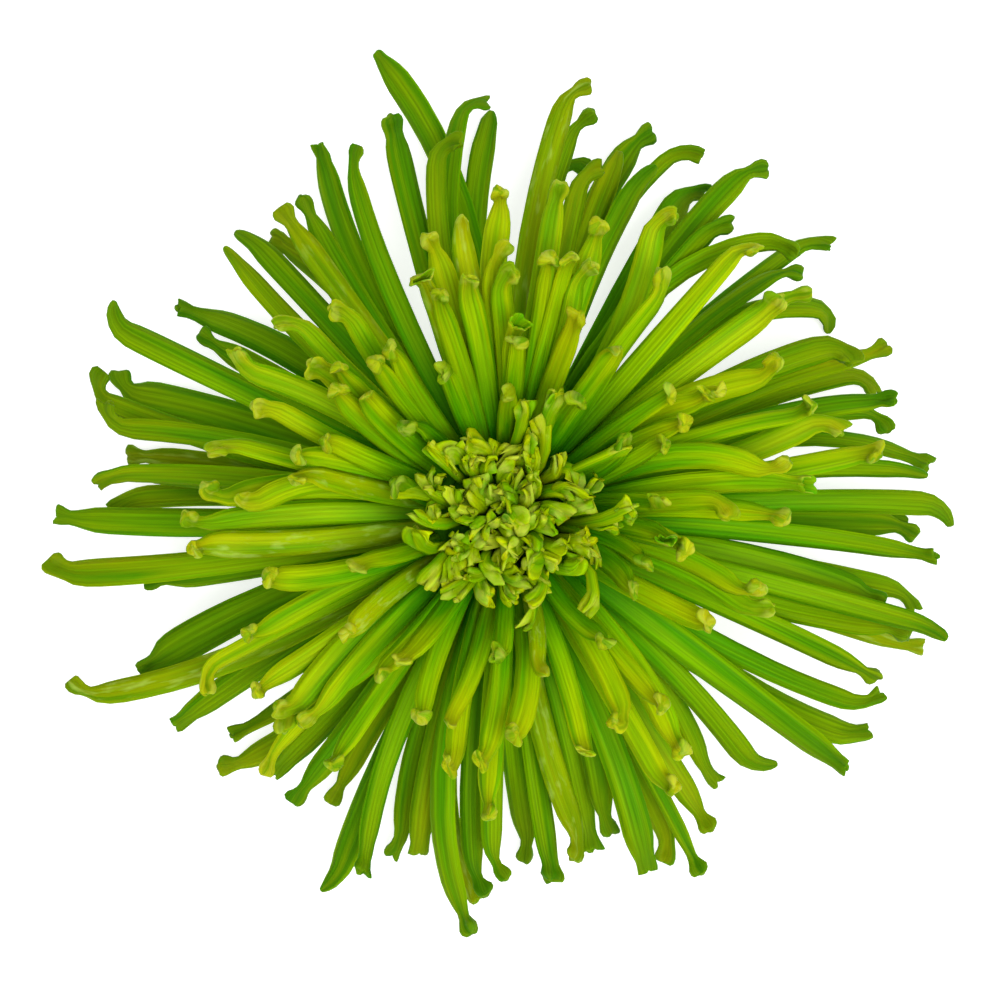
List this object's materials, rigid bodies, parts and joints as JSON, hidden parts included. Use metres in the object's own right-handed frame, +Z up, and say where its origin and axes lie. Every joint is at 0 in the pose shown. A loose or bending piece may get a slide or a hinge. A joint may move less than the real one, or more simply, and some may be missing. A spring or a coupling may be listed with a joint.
{
  "type": "spider chrysanthemum flower head",
  "caption": "Green spider chrysanthemum flower head, cut under its bracts and lying face up, with long hooked tubular ray florets round a ruffled centre.",
  "frame": {"origin": "on the surface that the head rests on, under the middle of the head's outline", "axes": "+Z up, out of the face of the bloom; +X to the right and +Y to the top of the bloom seen from above"},
  "size_m": [0.1362, 0.133, 0.0391],
  "materials": {
    "stalk": "ribbed pale green stalk with a moist cut end",
    "bract": "dull dark green scales with dry pale edges",
    "outer_ray": "satin mid green, finely ribbed lengthwise",
    "inner_ray": "satin yellow green, finely ribbed lengthwise, with paler knobs",
    "centre": "satin pale yellow green with lobed mouths"
  },
  "bodies": {
    "root": {"cut_stalk": "stalk", "bracts": "bract", "outer_ray_florets": "outer_ray", "inner_ray_florets": "inner_ray", "centre_florets": "centre"}
  },
  "joints": []
}
